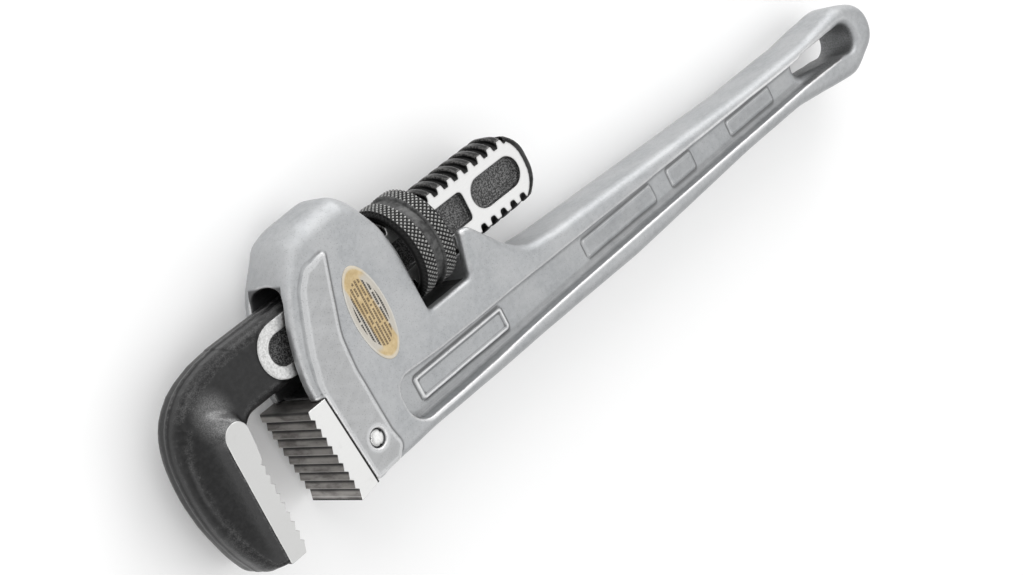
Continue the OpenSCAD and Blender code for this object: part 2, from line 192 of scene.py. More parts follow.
def skin(block, field):
    # quad mesh over the zero level of a field: points, faces and how sharply each point bends
    field = np.ascontiguousarray(field, np.float32)
    inside = field < 0
    wide, high, deep = (count - 1 for count in inside.shape)
    total = sum(
        inside[a:a + wide, b:b + high, c:c + deep].astype(np.int8)
        for a in (0, 1) for b in (0, 1) for c in (0, 1)
    )
    active = (total > 0) & (total < 8)
    cells = np.argwhere(active)
    number = np.full(active.shape, -1, np.int32)
    number[active] = np.arange(len(cells))
    spot = np.zeros((len(cells), 3))
    hits = np.zeros(len(cells))
    corners = [(a, b, c) for a in (0, 1) for b in (0, 1) for c in (0, 1)]
    for a in corners:
        for b in corners:
            if sum(b) - sum(a) == 1 and all(v >= u for u, v in zip(a, b)):
                da = field[tuple((cells + a).T)]
                db = field[tuple((cells + b).T)]
                crossed = (da < 0) != (db < 0)
                t = np.where(crossed, da / np.where(crossed, da - db, 1), 0)
                spot += np.where(crossed[:, None], np.array(a) + t[:, None] * (np.array(b) - np.array(a)), 0)
                hits += crossed
    p = cells + spot / hits[:, None]
    for _ in range(2):
        value, slope = pick(field, p)
        steep = np.maximum((slope ** 2).sum(1), (block.step * 0.4) ** 2)
        move = -value[:, None] * slope / steep[:, None]
        size = np.linalg.norm(move, axis=1, keepdims=True)
        p = p + move * np.minimum(1, 0.5 / np.maximum(size, 1e-9))
    faces = []
    for axis in range(3):
        u, v = [k for k in range(3) if k != axis]
        front = np.moveaxis(inside, axis, 0)
        cross = front[:-1, 1:-1, 1:-1] != front[1:, 1:-1, 1:-1]
        where = np.argwhere(cross)
        i, j, k = where[:, 0], where[:, 1] + 1, where[:, 2] + 1
        table = np.moveaxis(number, axis, 0)
        quad = np.stack([table[i, j - 1, k - 1], table[i, j, k - 1], table[i, j, k], table[i, j - 1, k]], 1)
        flip = front[:-1, 1:-1, 1:-1][cross]
        if axis == 1:
            flip = ~flip
        quad[~flip] = quad[~flip][:, ::-1]
        faces.append(quad)
    faces = np.concatenate(faces)
    faces = faces[(faces >= 0).all(1)]
    # bend: how the distance field curves at the surface, averaged over about a millimetre
    wide = max(1.0, 0.8 / block.step)
    middle = pick(field, p)[0]
    bend = np.zeros(len(p))
    for axis in range(3):
        for side in (-1, 1):
            q = p.copy()
            q[:, axis] += side * wide
            q = np.clip(q, 0, np.array(field.shape) - 1.001)
            bend += pick(field, q)[0] - middle
    bend /= (wide * block.step) ** 2
    return block.low + p * block.step, faces, bend


def addMesh(name, points, faces, body, nodes, smooth=True, attributes=None):
    # points in mm; the object's own origin is the first heel tooth
    mesh = bpy.data.meshes.new(name)
    if isinstance(faces, np.ndarray):
        mesh.vertices.add(len(points))
        mesh.vertices.foreach_set("co", (np.asarray(points) / 1000).astype(np.float32).ravel())
        width = faces.shape[1]
        mesh.loops.add(faces.size)
        mesh.loops.foreach_set("vertex_index", faces.astype(np.int32).ravel())
        mesh.polygons.add(len(faces))
        mesh.polygons.foreach_set("loop_start", np.arange(0, faces.size, width, dtype=np.int32))
        mesh.update(calc_edges=True)
        mesh.validate()
    else:
        mesh.from_pydata([tuple(np.array(p) / 1000) for p in points], [], faces)
        mesh.update()
    mesh.polygons.foreach_set("use_smooth", [smooth] * len(mesh.polygons))
    for key, values in (attributes or {}).items():
        mesh.attributes.new(key, "FLOAT", "POINT").data.foreach_set("value", np.asarray(values, np.float32))
    thing = bpy.data.objects.new(name, mesh)
    bpy.context.scene.collection.objects.link(thing)
    thing.location = [v / 1000 for v in shift]
    if body:
        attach(thing, body)
    if nodes:
        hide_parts(*nodes)
    return thing


def addField(name, block, field, body, nodes):
    points, faces, bend = skin(block, field)
    thing = addMesh(name, points, faces, body, nodes, attributes={"bend": bend})
    print(f"{name}: {len(points)} points")
    return thing


def addPlate(name, corners, z0, z1, bevel, body, nodes):
    # flat outline with thickness, its rims broken by a small chamfer
    line = rounded(corners, 0.16)
    line = line[[i for i in range(len(line)) if np.linalg.norm(line[i] - line[i - 1]) > 0.02]]
    area = np.sum(line[:, 0] * np.roll(line[:, 1], -1) - line[:, 1] * np.roll(line[:, 0], -1))
    if area < 0:
        line = line[::-1]
    n = len(line)
    along = np.roll(line, -1, axis=0) - line
    along /= np.linalg.norm(along, axis=1, keepdims=True)
    normal = np.stack([along[:, 1], -along[:, 0]], 1)
    corner = normal + np.roll(normal, 1, axis=0)
    corner /= np.maximum((corner ** 2).sum(1, keepdims=True) / 2, 0.5)
    inner = line - corner * bevel
    rings = [(inner, z0), (line, z0 + bevel), (line, z1 - bevel), (inner, z1)]
    points = [(p[0], p[1], z) for ring, z in rings for p in ring]
    faces = []
    for k in range(3):
        for i in range(n):
            a, b = k * n + i, k * n + (i + 1) % n
            faces.append([a, b, b + n, a + n])
    caps = tessellate_polygon([[Vector((p[0], p[1], 0)) for p in inner]])
    for a, b, c in caps:
        u, v = inner[b] - inner[a], inner[c] - inner[a]
        if u[0] * v[1] - u[1] * v[0] < 0:
            b, c = c, b
        faces.append([3 * n + a, 3 * n + b, 3 * n + c])
        faces.append([c, b, a])
    thing = addMesh(name, points, faces, body, nodes)
    with bpy.context.temp_override(object=thing, active_object=thing, selected_editable_objects=[thing]):
        bpy.ops.object.shade_smooth_by_angle(angle=math.radians(24))
    return thing


def addLathe(name, profile, place, body, nodes, sides=64, change=None):
    # profile of (radius, height) turned round the local Z axis, then set down by place
    points, faces = [], []
    rows = len(profile)
    for i in range(sides):
        a = 2 * math.pi * i / sides
        for r, h in profile:
            radius = r if change is None else change(r, h, a)
            points.append(place @ Vector((radius * math.cos(a), radius * math.sin(a), h)))
    for i in range(sides):
        for j in range(rows - 1):
            a, b = i * rows + j, ((i + 1) % sides) * rows + j
            faces.append([a, b, b + 1, a + 1])
    return addMesh(name, [tuple(p) for p in points], faces, body, nodes)


handle = {
    "step": 0.62,
    "cheek": 14.1,
    "beam": 13.0,
    "endHalf": 10.4,
    "webHalf": 7.0,
    "topFront": -2.4,
    "heightFront": 31.8,
    "topRear": -9.4,
    "heightRear": 22.4,
    "channelHalf": 9.5,
    "channelRadius": 18.2,
    "channelFloor": 3.5,
    "windowStart": 66.2,
    "windowEnd": 89.2,
    "hoodRadius": 9.5,
    "edgeRadius": 1.9,
    "castPads": [(50, 99, 4.5, True), (148, 192, 3.6, False), (203, 219, 3.6, False), (244, 274, 3.1, False)],
    "beamRadius": 4.6,
}


def handleOutline():
    length, top = wrench["handleLength"], wrench["houseTop"]
    t0, t1 = handle["topFront"], handle["topRear"]
    b0, b1 = t0 - handle["heightFront"], t1 - handle["heightRear"]
    seat, floor = wrench["seatX"], handle["channelFloor"]
    w0, w1 = handle["windowStart"], handle["windowEnd"]
    return [
        (seat, heelTop, 0.4), (6.2, heelTop + 0.3, 1), (6.3, 11, 30), (8.4, 21, 60),
        (11.4, 30, 40), (17.4, 42, 60), (25.6, top - 3, 8), (34, top - 0.8, 14),
        (54, top, 9), (60.4, top - 6, 12), (64, 39, 40), (w0, 28, 30),
        (w0, floor, 1.6), (w1, floor, 2.4), (w1 + 5, 20.2, 1.8), (99.4, 19.2, 5),
        (111.4, 5.4, 20), (119.5, t0 + 0.8, 20), (136, t0 - 1.2, 60), (length - 90, t1 - 0.1, 80),
        (length - 46, t1 - 0.4, 50), (length - 16, t1 + 2.2, 16), (length, t1 - 4.4, 11),
        (length, b1 + 2, 13), (length - 20, b1 - 6.2, 16), (length - 46, b1 - 2, 40),
        (length - 62, b1 + 0.2, 40), (length - 100, b1 + 0.2, 60),
        (170, b0 - 0.2, 90), (footX + 14, heelFoot + 1.8, 60), (footX + 1.6, heelFoot + 1.4, 1.4),
        (footX - 0.04, heelFoot + 2.2, 0.5),
    ]


padOutline = [
    (wrench["seatX"], heelTop - 0.4, 0.4), (9.6, 9, 12), (11.6, 18, 30), (16.2, 29, 30),
    (20.8, 39, 8), (26.8, 45, 5), (37.6, 45, 0.8), (27, 17, 20), (26, 4, 14), (27, -21.6, 10),
    (28.6, -28.4, 3), (24.6, heelFoot + 2.6, 1), (footX - 0.1, heelFoot + 2.4, 0.4),
]


def recessOutline():
    length = wrench["handleLength"]
    t1 = handle["topRear"]
    b1 = t1 - handle["heightRear"]
    return [
        (38, -9.4, 6.4), (60, -10.6, 10), (130, -11.8, 60), (length - 58, t1 - 4.6, 30),
        (length - 28, t1 - 5.3, 2), (length - 28, t1 - 16.2, 2), (length - 58, b1 + 6.4, 30), (130, -27, 60),
        (60, -28.4, 10), (38, -28.4, 8.6),
    ]


def eyeOutline():
    x1 = wrench["handleLength"] - 15.4
    x0 = x1 - 38
    middle = handle["topRear"] - handle["heightRear"] / 2 - 0.8
    return [
        (x0, middle + 6.6, 3.8), (x1, middle + 7, 6.9),
        (x1, middle - 7, 6.9), (x0 - 1, middle - 0.6, 3.8),
    ]


def buildHandle():
    length = wrench["handleLength"]
    block = Block((4, -39.6, -16.6), (length + 2, wrench["houseTop"] + 1.6, 16.6), handle["step"])
    x, y, z = block.x, block.y, block.z
    x2, y2 = x[:, :, 0], y[:, :, 0]
    side = np.abs(z)
    outer = flatDistance(handleOutline(), x2, y2)[:, :, None]
    half = handle["cheek"] + (handle["beam"] - handle["cheek"]) * ramp(x, 82, 112)
    half = half + (handle["endHalf"] - handle["beam"]) * ramp(x, length - 62, length + 6)
    edge = handle["edgeRadius"]
    hood = (handle["hoodRadius"] - edge) * ramp(y, 38, 55) * (1 - ramp(x, 62, 76))
    beam = np.maximum(ramp(x, 94, 124), (1 - ramp(y, -30, -14)) * ramp(x, 26, 50))
    soft = edge + hood + (handle["beamRadius"] - edge) * beam + 2.0 * ramp(x, length - 40, length - 6)
    seatEdge = (1 - ramp(np.hypot(x - 12, (y + 15) / 18), 3, 8)) * (y < 4)
    soft = soft * (1 - 0.9 * seatEdge) + 0.25
    body = common(outer, side - half, soft)

    pad = flatDistance(padOutline, x2, y2)[:, :, None]
    slant = 0.6 + 1.7 * ramp(y, 2, 14) * (1 - ramp(x - 0.36 * (y - 17), 20, 26))
    body = join(body, common(pad, side - wrench["halfWidth"], slant), 1.2)

    recess = flatDistance(recessOutline(), x2, y2)[:, :, None]
    body = carve(body, common(recess, handle["webHalf"] - side, 3.0), 1.1)

    # blank cast pads on the web; the first has a raised rim
    for x0, x1, tall, rim in handle["castPads"]:
        y0 = -19.6
        line = [(x0, y0 - tall, 1.2), (x1, y0 - tall, 1.2), (x1, y0 + tall, 1.2), (x0, y0 + tall, 1.2)]
        plate = flatDistance(line, x2, y2)[:, :, None]
        body = join(body, common(plate, side - handle["webHalf"] - (0.75 if rim else 0.5), 0.2), 0.35)
        if rim:
            body = carve(body, common(plate + 1.2, handle["webHalf"] + 0.3 - side, 0.2), 0.2)

    eye = flatDistance(eyeOutline(), x2, y2)[:, :, None]
    body = carve(body, eye + 0 * z, 3.4)

    shankY, slab = wrench["shankY"], side - handle["channelHalf"]
    bore = common(np.hypot(y - shankY, z) - handle["channelRadius"], slab, 2.0)
    slot = common(np.maximum(handle["channelFloor"] - y, y - shankY), slab, 1.2)
    channel = np.minimum(bore, slot)
    body = carve(body, np.maximum(channel, x - handle["windowStart"] - 1), 1.4)
    saddle = common(handle["channelFloor"] - y, slab, 1.6)
    body = carve(body, np.maximum(saddle, handle["windowEnd"] - 4 - x), 1.4)

    px, py = wrench["pin"]
    body = carve(body, np.hypot(x - px, y - py) - 3.55 + 0 * z, 0.35)
    well = np.maximum(np.hypot(x - 33, z) - 4.1, np.abs(y) - 5.1)
    body = carve(body, well, 0.3)
    body = body + ripple(x, y, z, 21, 0.045) + ripple(x + 7, y - 3, z, 8.3, 0.016)
    return addField("handleCasting", block, body, "handle", ["handle"])


hook = {
    "step": 0.44,
    "bodyHalf": 8.5,
    "landHalf": 8.9,
    "neckLow": 12.1,
    "neckHigh": 37.5,
    "threadStart": 44.0,
    "reach": 142.0,
    "rootRadius": 13.1,
    "toothPitch": 3.72,
    "toothDepth": 1.4,
    "relief": 2.0,
}


def faceX(y):
    return hookX + y * math.tan(math.radians(hook["relief"]))


def hookOutline():
    return [
        (hookX + 26, hook["neckLow"], 1), (hookX + 9.6, hook["neckLow"], 6),
        (hookX + 3.4, hook["neckLow"] - 5, 5), (hookX - 2.4, 0.4, 2),
        (faceX(hookTip) - 3.4, heelFoot + 2.4, 1), (faceX(hookTip) - 4, hookTip + 0.2, 1),
        (hookX - 14, hookTip + 0.2, 4), (backX + 5.8, -26, 30), (backX + 1, -12, 40),
        (backX, 0, 40), (backX + 1.4, 14, 40), (backX + 6.4, 26, 20),
        (backX + 15, hook["neckHigh"] - 4.6, 26), (backX + 28, hook["neckHigh"] - 0.4, 50),
        (hookX + 26, hook["neckHigh"], 1),
    ]


def stripOutline(teeth):
    # ground strip each side of the teeth, with or without the teeth themselves
    line = [(hookX + 1.8, 17, 5.2), (hookX + 0.8, 5.6, 12), (hookX, 0.4, 0.6)]
    if teeth:
        for i in range(9):
            y = -1 - i * hook["toothPitch"]
            line.append((faceX(y) - hook["toothDepth"], y, 0.12))
            line.append((faceX(y), y - hook["toothPitch"] * 0.3, 0.1))
    line += [
        (faceX(hookTip) - 0.4, heelFoot + 2.4, 0.6), (faceX(hookTip) - 1.6, hookTip + 0.2, 0.6),
        (faceX(hookTip) - 8.6, hookTip + 0.2, 0.4), (hookX - 9.2, 6, 4), (hookX - 8.8, 17, 5.4),
    ]
    return line


def flareLimits():
    return [
        (hookX + 1.6, 17.6, 4), (hookX + 1.2, 11, 4), (hookX - 1, 0.4, 1),
        (faceX(hookTip) - 1.4, heelFoot + 2.4, 0.6), (faceX(hookTip) - 2, hookTip + 0.2, 1),
        (hookX - 14, hookTip + 0.2, 4), (backX + 5.8, -26, 30), (backX + 2, -12, 40),
        (backX + 2, 14, 40), (backX + 10, 26, 20),
    ]


def buildHook():
    block = Block((backX - 1.2, hookTip - 1.2, -16.4), (hook["reach"] + 1.2, 41, 16.4), hook["step"])
    x, y, z = block.x, block.y, block.z
    x2, y2 = x[:, :, 0], y[:, :, 0]
    side = np.abs(z)
    shankY, pitch = wrench["shankY"], wrench["pitch"]
    outer = flatDistance(hookOutline(), x2, y2)[:, :, None]
    neck = np.maximum(np.maximum(hook["neckLow"] - y, y - hook["neckHigh"]), np.maximum(-x - 12, x - 47))
    outer = np.minimum(outer, neck)
    body = common(outer + 0.3, side - hook["bodyHalf"], 4.4)
    body = join(body, common(outer, side - 0.7, 0.4), 1.0)  # forging flash at the parting line

    strip = flatDistance(stripOutline(False), x2, y2)[:, :, None]
    limit = flatDistance(flareLimits(), x2, y2)[:, :, None]
    slope = (side - wrench["halfWidth"] + 0.15 + np.maximum(strip, 0) * 0.88) * 0.75
    flare = common(np.maximum(slope, strip - 13), limit + 0.3, 1.6)
    body = join(body, flare, 4.5)

    end = flatDistance([
        (0, 0, 0), (0, shankY - 15.4, 0), (hook["reach"] - 9, shankY - 15.4, 12),
        (hook["reach"], shankY - 7, 11), (hook["reach"], shankY + 7, 11),
        (hook["reach"] - 9, shankY + 15.4, 12), (0, shankY + 15.4, 0), (0, 50, 0),
    ], x2, y2)[:, :, None]
    end = np.maximum(end, hook["threadStart"] - x)
    radius = np.hypot(y - shankY, z)
    shank = common(common(radius - wrench["shankRadius"], side - hook["landHalf"], 0.35), end, 0.5)
    shank = common(shank, hook["threadStart"] - x, 2.5)
    land = flatDistance([
        (-2.8, shankY - 10.8, 10.7), (44, shankY - 10.8, 2), (48, shankY - 14, 2),
        (hook["reach"] - 2.4, shankY - 14, 12.6), (hook["reach"] - 2.4, shankY + 14, 12.6),
        (48, shankY + 14, 2), (44, shankY + 10.8, 2), (-2.8, shankY + 10.8, 10.7),
    ], x2, y2)[:, :, None]
    shank = np.maximum(shank, np.minimum(side - hook["bodyHalf"], np.maximum(land, side - hook["landHalf"])))
    body = join(body, common(common(land, side - hook["landHalf"], 0.3), x - 46, 0.3), 0.5)
    body = join(body, shank, 0.6)

    # right-hand thread, cut only where the round edges stand
    turn = np.arctan2(z, y - shankY) / (2 * math.pi)
    phase = (x - wrench["nutX"]) / pitch - turn
    away = np.abs(phase - np.round(phase)) * pitch
    width = pitch * (0.19 + 0.12 * np.maximum(radius - hook["rootRadius"], 0) / 2.9)
    groove = common((away - width) * 0.96, hook["rootRadius"] - radius, 0.35)
    groove = np.maximum(groove, np.maximum(hook["threadStart"] + 2.2 - x, x - hook["reach"] + 6.4))
    body = carve(body, groove, 0.22)

    def pocket(x0, x1, r0, r1, tall):
        bottom, top = shankY - tall, shankY + tall
        line = [(x0, bottom, r0), (x1, bottom, r1), (x1, top, r1), (x0, top, r0)]
        d = flatDistance(line, x2, y2)[:, :, None]
        return common(d, hook["landHalf"] - 2.4 - side, 0.9)

    body = carve(body, pocket(2, 106.2, 5.7, 1.8, 5.8), 0.3)
    body = carve(body, pocket(110, hook["reach"] - 6, 5.95, 5.95, 6), 0.3)
    rough = ripple(x, y, z, 13, 0.05) + ripple(x + 4, y - 9, z, 5.1, 0.02)
    body = body + rough * (side < 8.6)
    made = addField("hookForging", block, body, "jaw", ["hook_jaw"])
    face = addPlate(
        "hookTeeth", stripOutline(True), -wrench["halfWidth"], wrench["halfWidth"], 0.18,
        "jaw", [],
    )
    return made, face


heel = {"toothPitch": 3.72, "toothDepth": 1.4, "edge": 0.16}


def buildHeel():
    lean = math.tan(math.radians(wrench["lean"]))
    line = [(wrench["seatX"] - 0.38, heelTop, 0.3), (0.6, heelTop, 0.4)]
    for i in range(9):
        y = -i * heel["toothPitch"]
        line.append((-y * lean, y, 0.1))
        line.append((-y * lean + heel["toothDepth"], y - heel["toothPitch"] * 0.27, 0.14))
    line += [(-heelFoot * lean - 0.2, heelFoot - 0.1, 0.4), (footX - 0.42, heelFoot + 1.5, 0.3)]
    half = wrench["halfWidth"] - 0.02
    return addPlate("heelJaw", line, -half, half, heel["edge"], "handle", ["heel_jaw"])


pin = {
    "radius": 3.2,
    "sunk": 0.5,
    "flutes": (0.52, 2.62, 4.71),
    "fluteDepth": 0.5,
    "fluteHalf": 0.5,
    "fluteLength": 7,
}


def buildPin():
    half = wrench["halfWidth"] - pin["sunk"]
    r = pin["radius"]
    profile = [(0.02, -half), (1.2, -half), (2.2, -half + 0.08), (r - 0.35, -half + 0.3), (r, -half + 0.8)]
    profile += [(r, h) for h in np.linspace(-half + 1.6, half - 1.6, 24)]
    profile += [(r, half - 0.8), (r - 0.35, half - 0.3), (2.2, half - 0.08), (1.2, half), (0.02, half)]

    def flute(radius, h, a):
        near = min(abs((a - c + math.pi) % (2 * math.pi) - math.pi) for c in pin["flutes"])
        cut = math.exp(-((near * r / pin["fluteHalf"]) ** 2))
        depth = pin["fluteDepth"] * cut * (abs(h) > half - pin["fluteLength"]) * (radius > 2.4)
        return radius - depth

    place = Matrix.Translation((wrench["pin"][0], wrench["pin"][1], 0))
    return addLathe("heelPin", profile, place, "handle", ["heel_pin"], 72, flute)


nut = {
    "length": 18.6,
    "knurls": 62,
    "knurlDepth": 0.62,
    "band": 1.75,
    "grooveDepth": 1.3,
    "around": 744,
}


def buildNut():
    h, rimRadius, pitch = nut["length"] / 2, wrench["nutRadius"], wrench["pitch"]
    bore = wrench["shankRadius"] + 0.3
    band, deep = nut["band"], nut["grooveDepth"]
    profile = [(bore + 0.9, -h), (rimRadius - 3.2, -h)]
    profile += [(rimRadius - 1.9, -h + 0.02), (rimRadius - 1.75, -h + 0.1)]
    rows = [(rimRadius - 1.6 + 1.6 * t, -h + 0.2 + 1.5 * t) for t in np.linspace(0, 1, 7)[1:]]
    rows += [(rimRadius, s) for s in np.linspace(-h + 1.9, -band - 0.9, 22)]
    rows += [(rimRadius - deep * t, -band - 0.75 + 0.75 * t) for t in (0.25, 0.6, 0.9, 1)]
    rows += [(rimRadius - deep, s) for s in np.linspace(-band + 0.4, band - 0.4, 5)]
    profile += rows + [(r, -s) for r, s in reversed(rows[:-5])]
    profile += [(rimRadius - 1.75, h - 0.1), (rimRadius - 1.9, h - 0.02), (rimRadius - 3.2, h)]
    profile += [(bore + 0.9, h), (bore, h - 0.9)]
    profile += [(bore, s) for s in np.linspace(h - 1.4, -h + 1.4, 40)]
    profile += [(bore, -h + 0.9), (bore + 0.9, -h)]
    spacing = 2 * math.pi * rimRadius / nut["knurls"]

    def knurl(r, s, a):
        if r <= bore + 0.01 and abs(s) < h - 1:
            # ridge that rides in the thread of the shank
            phase = (s / pitch) - a / (2 * math.pi)
            away = abs(phase - round(phase)) * pitch
            lift = min(1, max(0, (pitch * 0.2 - away) / 0.45))
            return r - 1.9 * lift
        if r < rimRadius - 1.3 or abs(s) < nut["band"] + 0.7:
            return r
        u = a * rimRadius / spacing
        w = s / spacing * 0.92
        p = abs(((u + w) % 1) - 0.5) * 2
        q = abs(((u - w) % 1) - 0.5) * 2
        fade = min(1, (r - (rimRadius - 1.3)) / 0.9) * min(1, (abs(s) - nut["band"] - 0.7) / 0.4)
        cut = 1 - min(1, min(p, q) * 1.75)
        return r - nut["knurlDepth"] * cut * fade

    place = Matrix.Translation((wrench["nutX"], wrench["shankY"], 0)) @ Matrix(
        ((0, 0, 1, 0), (1, 0, 0, 0), (0, 1, 0, 0), (0, 0, 0, 1))
    )
    made = addLathe("adjustingNut", profile, place, "nut", ["nut"], nut["around"], knurl)
    print("nut:", len(made.data.vertices), "points")
    return made


springs = {"x": 33.0, "radius": 3.2, "wire": 0.55, "turns": 5.5, "leafThick": 0.9, "leafWide": 11.0}


def flex(thing, low, high):
    # bakes the placement into the points; nothing here makes the top move with the jaw, and the foot and top
    # heights go only into a position that is not used
    where = [(springs["x"] + shift[0]) / 1000, 0, shift[2] / 1000]
    where[1] = (low + shift[1]) / 1000
    where[1] = (high + shift[1]) / 1000
    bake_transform(thing)


def buildSprings():
    floor = handle["channelFloor"]
    x0, x1 = springs["x"] - 9, handle["windowStart"] - 4
    rise = hook["neckLow"] - floor - springs["leafThick"] - 4.6
    count = 48
    low = []
    for i in range(count + 1):
        t = i / count
        arch = math.sin(math.radians(180 * (0.22 + 0.78 * t)))
        low.append((x0 + (x1 - x0) * t, floor + 0.25 + rise * arch))
    line = [(a, b, 0) for a, b in low] + [(a, b + springs["leafThick"], 0) for a, b in reversed(low)]
    w = springs["leafWide"] / 2
    leaf = addPlate("leafSpring", line, -w, w, 0.15, None, ["flat_spring"])
    flex(leaf, floor + 0.25, floor + 0.25 + rise)

    steps, ring = 40, 12
    n = int(springs["turns"] * steps)
    y0 = floor - 8.6 + springs["wire"] + 0.1
    y1 = floor + 2.9 - springs["wire"]
    points, faces = [], []
    for i in range(n + 1):
        a = 2 * math.pi * i / steps
        for k in range(ring):
            b = 2 * math.pi * k / ring
            r = springs["radius"] + springs["wire"] * math.cos(b)
            y = y0 + (y1 - y0) * i / n + springs["wire"] * math.sin(b)
            points.append((springs["x"] + r * math.cos(a), y, -r * math.sin(a)))
    for i in range(n):
        for k in range(ring):
            a, b = ring * i + k, ring * i + (k + 1) % ring
            faces.append([a, b, b + ring, a + ring])
    faces += [list(range(ring))[::-1], [ring * n + k for k in range(ring)]]
    coil = addMesh("coilSpring", points, faces, None, ["coil_spring"])
    flex(coil, y0, y1)

    profile = [(0.02, 0.4), (1.2, 0.42), (1.2, 2.3), (2.0, 2.32), (2.1, 2.6), (2.0, 2.88)]
    profile += [(1.2, 2.9), (1.2, 4.22), (2.2, 4.23), (2.15, 4.5), (1.7, 4.75), (1.0, 4.86), (0.02, 4.9)]
    place = Matrix.Translation((springs["x"], floor, 0)) @ Matrix(
        ((0, 1, 0, 0), (0, 0, 1, 0), (1, 0, 0, 0), (0, 0, 0, 1))
    )
    rivet = addLathe("springRivet", profile, place, "spring_pack", ["spring_rivet"], 40)
    return leaf, coil, rivet


label = {"x": 43.0, "y": 16.8, "long": 18.6, "wide": 8.3, "thick": 0.16}


def buildLabel(name, side, node):
    rings = [(1.0, 0.0), (1.0, 0.6), (0.985, 1.0), (0.93, 1.0), (0.915, 0.72), (0.6, 0.72), (0.3, 0.72)]
    sides = 96
    base = handle["cheek"] + 0.02
    points, faces = [], []
    for scale, lift in rings:
        for i in range(sides):
            a = 2 * math.pi * i / sides
            points.append((
                label["x"] + label["wide"] * scale * math.cos(a),
                label["y"] + label["long"] * scale * math.sin(a),
                side * (base + label["thick"] * lift),
            ))
    points.append((label["x"], label["y"], side * (base + label["thick"] * 0.72)))
    for r in range(len(rings) - 1):
        for i in range(sides):
            a, b = r * sides + i, r * sides + (i + 1) % sides
            faces.append([a, b, b + sides, a + sides] if side > 0 else [b, a, a + sides, b + sides])
    last = (len(rings) - 1) * sides
    for i in range(sides):
        tri = [last + i, last + (i + 1) % sides, len(points) - 1]
        faces.append(tri if side > 0 else tri[::-1])
    faces.append(list(range(sides))[::-1] if side > 0 else list(range(sides)))
    return addMesh(name, points, faces, "handle", [node])


class Flow:
    # a shader socket that takes part in ordinary Python maths
    def __init__(self, tree, socket=None):
        self.tree, self.socket = tree, socket

    def add(self, kind, settings=None, inputs=None, output=0):
        made = self.tree.nodes.new(kind)
        for key, value in (settings or {}).items():
            if key == "stops":
                ramp = made.color_ramp
                while len(ramp.elements) < len(value):
                    ramp.elements.new(0.5)
                for element, (position, colour) in zip(ramp.elements, value):
                    element.position = position
                    element.color = colour if len(colour) == 4 else (*colour, 1)
            else:
                setattr(made, key, value)
        for key, value in (inputs or {}).items():
            if isinstance(value, Flow):
                self.tree.links.new(value.socket, made.inputs[key])
            else:
                made.inputs[key].default_value = value
        return Flow(self.tree, made.outputs[output])

    def maths(self, operation, other, swap=False):
        first, second = (other, self) if swap else (self, other)
        return self.add("ShaderNodeMath", {"operation": operation}, {0: first, 1: second})

    def __add__(self, other):
        return self.maths("ADD", other)

    def __radd__(self, other):
        return self.maths("ADD", other, True)

    def __sub__(self, other):
        return self.maths("SUBTRACT", other)

    def __rsub__(self, other):
        return self.maths("SUBTRACT", other, True)

    def __mul__(self, other):
        return self.maths("MULTIPLY", other)

    def __rmul__(self, other):
        return self.maths("MULTIPLY", other, True)

    def __truediv__(self, other):
        return self.maths("DIVIDE", other)

    def __abs__(self):
        return self.maths("ABSOLUTE", 0.0)

    def __gt__(self, other):
        return self.maths("GREATER_THAN", other)

    def __lt__(self, other):
        return self.maths("LESS_THAN", other)

    def least(self, other):
        return self.maths("MINIMUM", other)

    def most(self, other):
        return self.maths("MAXIMUM", other)

    def fade(self, low, high):
        return self.add(
            "ShaderNodeMapRange", {"interpolation_type": "SMOOTHSTEP"},
            {"Value": self, "From Min": low, "From Max": high},
        )

    def blend(self, a, b):
        # a colour going from a to b by this mask
        return self.add("ShaderNodeMix", {"data_type": "RGBA"}, {0: self, 6: a, 7: b}, 2)


def rgb(r, g, b):
    return (r, g, b, 1.0)


class Finish:
    # a Principled surface with the coordinates that the recipes share
    def __init__(self, name):
        self.material = bpy.data.materials.new(name)
        self.material.use_nodes = True
        self.tree = self.material.node_tree
        self.surface = self.tree.nodes["Principled BSDF"]
        self.flow = Flow(self.tree)
        place = self.flow.add("ShaderNodeTexCoord", output=3)
        self.place = place.add("ShaderNodeVectorMath", {"operation": "SCALE"}, {0: place, "Scale": 1000.0})
        split = self.place.add("ShaderNodeSeparateXYZ", inputs={0: self.place}).socket.node
        self.x, self.y, self.z = (Flow(self.tree, split.outputs[i]) for i in range(3))
        normal = self.flow.add("ShaderNodeNewGeometry", output=1)
        turned = normal.add(
            "ShaderNodeVectorTransform",
            {"vector_type": "NORMAL", "convert_from": "WORLD", "convert_to": "OBJECT"}, {0: normal},
        )
        faces = turned.add("ShaderNodeSeparateXYZ", inputs={0: turned}).socket.node
        self.nx, self.ny, self.nz = (Flow(self.tree, faces.outputs[i]) for i in range(3))

    def bend(self):
        return self.flow.add("ShaderNodeAttribute", {"attribute_name": "bend"}, output=2)

    def noise(self, scale, detail=4.0, rough=0.55, stretch=None, warp=0.0):
        where = self.place
        if stretch:
            where = where.add("ShaderNodeVectorMath", {"operation": "MULTIPLY"}, {0: where, 1: stretch})
        return where.add(
            "ShaderNodeTexNoise", None,
            {"Vector": where, "Scale": scale, "Detail": detail, "Roughness": rough, "Distortion": warp},
        )

    def cells(self, scale, feature="F1", output=0):
        return self.place.add(
            "ShaderNodeTexVoronoi", {"feature": feature}, {"Vector": self.place, "Scale": scale}, output
        )

    def finish(self, **sockets):
        for key, value in sockets.items():
            name = key.replace("_", " ")
            if isinstance(value, Flow):
                self.tree.links.new(value.socket, self.surface.inputs[name])
            else:
                self.surface.inputs[name].default_value = value
        return self.material

    def bump(self, height, strength, distance):
        # distance in mm
        return height.add(
            "ShaderNodeBump", None, {"Height": height, "Strength": strength, "Distance": distance / 1000}
        )


